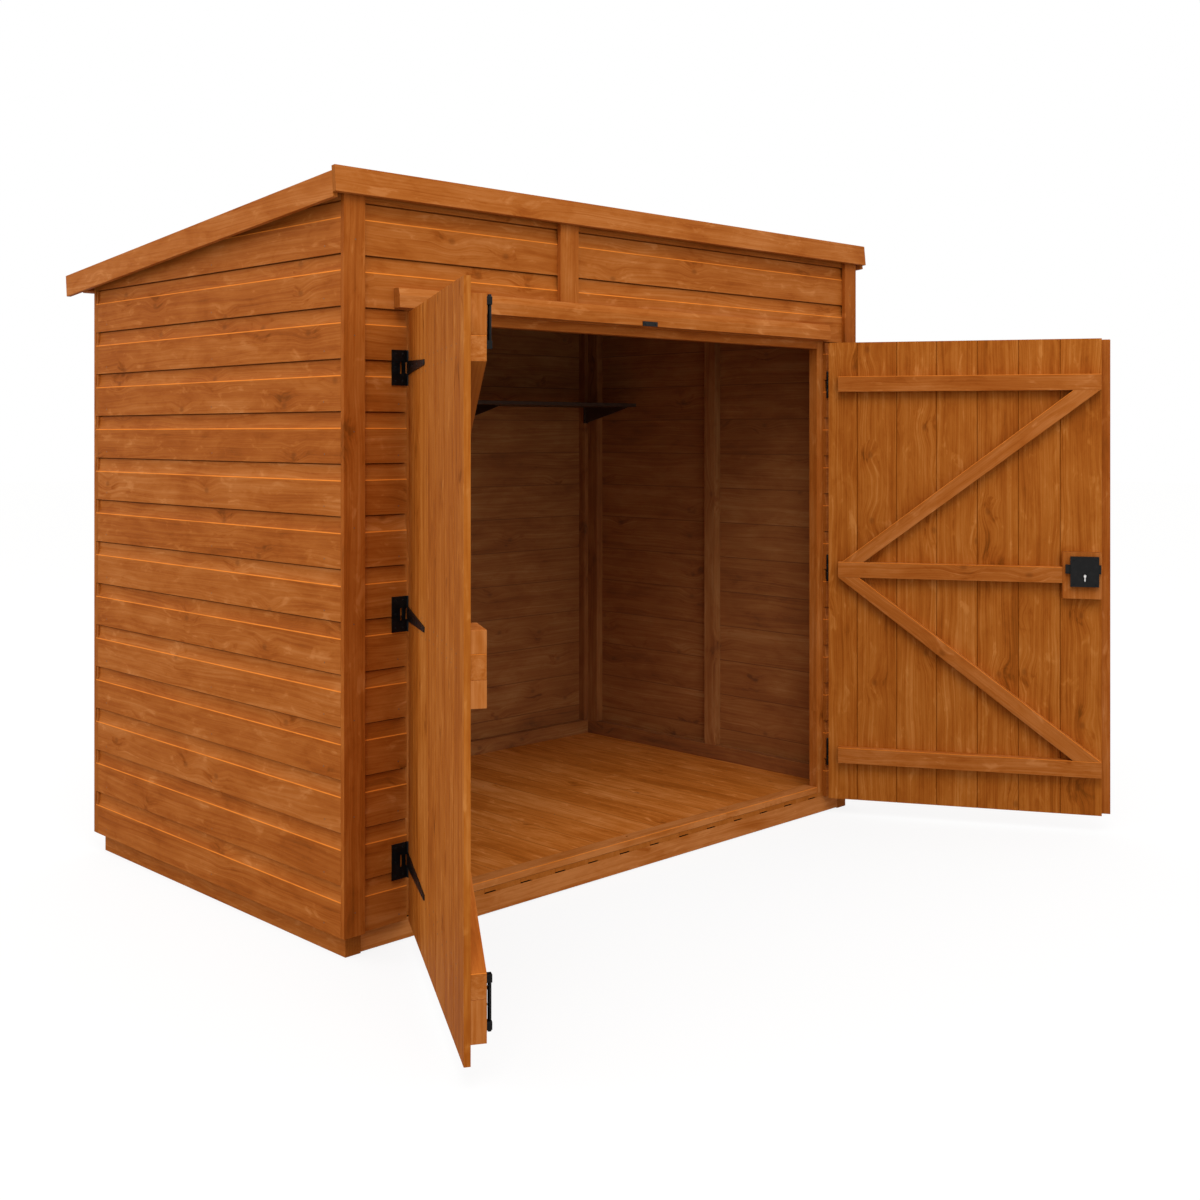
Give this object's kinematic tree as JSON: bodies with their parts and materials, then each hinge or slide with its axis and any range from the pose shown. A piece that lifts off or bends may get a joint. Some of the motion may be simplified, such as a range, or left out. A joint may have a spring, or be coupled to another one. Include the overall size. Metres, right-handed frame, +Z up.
{
  "type": "timber bicycle shed",
  "caption": "Small pent-roof timber shed with lapped board walls, a boarded floor, a shelf and a pair of ledged and braced doors that open outwards, for keeping bicycles.",
  "frame": {"origin": "underside of the middle floor bearer, midway between the outer faces of the walls", "axes": "+X to the right along the front, seen from outside; +Y from the front to the back wall; +Z up"},
  "size_m": [2.3232, 1.9565, 1.6865],
  "materials": {
    "clad_timber": "stained, satin",
    "trim_timber": "stained, satin",
    "frame_timber": "stained, matt",
    "floor_timber": "stained, matt",
    "roof_timber": "stained, matt",
    "door_timber": "stained, satin",
    "brace_timber": "stained, matt",
    "felt": "mineral, matt",
    "black_steel": "black, satin",
    "shelf_face": "black, matt"
  },
  "bodies": {
    "shed": {"left_cladding": "clad_timber", "right_cladding": "clad_timber", "back_cladding": "clad_timber", "front_left_cladding": "clad_timber", "front_right_cladding": "clad_timber", "header_cladding": "clad_timber", "corner_trims": "trim_timber", "header_cover_strip": "trim_timber", "drip_bar": "trim_timber", "front_fascia": "trim_timber", "barge_boards": "trim_timber", "side_wall_rails": "frame_timber", "side_wall_studs": "frame_timber", "back_wall_rails": "frame_timber", "back_wall_studs": "frame_timber", "front_posts": "frame_timber", "door_lintel": "frame_timber", "front_top_rail": "frame_timber", "roof_rails": "frame_timber", "floor_boards": "floor_timber", "floor_joists": "floor_timber", "floor_bearers": "floor_timber", "threshold_board": "floor_timber", "roof_deck": "roof_timber", "roof_felt": "felt", "hinge_plates": "black_steel", "upper_bolt_keep": "black_steel", "head_plate": "black_steel", "shelf_brackets": "black_steel", "shelf_board": "shelf_face"},
    "left_door": {"left_door_boards": "door_timber", "left_door_ledges": "brace_timber", "left_door_braces": "brace_timber", "left_door_blocks": "brace_timber", "left_hinge_straps": "black_steel", "bolt_barrels": "black_steel"},
    "right_door": {"right_door_boards": "door_timber", "right_door_ledges": "brace_timber", "right_door_braces": "brace_timber", "lock_block": "brace_timber", "rim_lock": "black_steel", "meeting_strip": "door_timber", "right_hinge_straps": "black_steel"},
    "upper_bolt": {"upper_bolt_rod": "black_steel"},
    "lower_bolt": {"lower_bolt_rod": "black_steel"}
  },
  "joints": [
    {"name": "left_door_hinge", "type": "hinge", "parent": "shed", "child": "left_door", "pos_m": [-0.7468, -0.5785, 0.7245], "axis": [0, 0, -1], "range_deg": [-120, 40]},
    {"name": "right_door_hinge", "type": "hinge", "parent": "shed", "child": "right_door", "pos_m": [0.7888, -0.5785, 0.7245], "axis": [0, 0, 1], "range_deg": [-120, 40]},
    {"name": "upper_bolt_slide", "type": "slide", "parent": "left_door", "child": "upper_bolt", "axis": [0, 0, 1], "range_m": [0, 0.022]},
    {"name": "lower_bolt_slide", "type": "slide", "parent": "left_door", "child": "lower_bolt", "axis": [0, 0, -1], "range_m": [0, 0.022]}
  ]
}
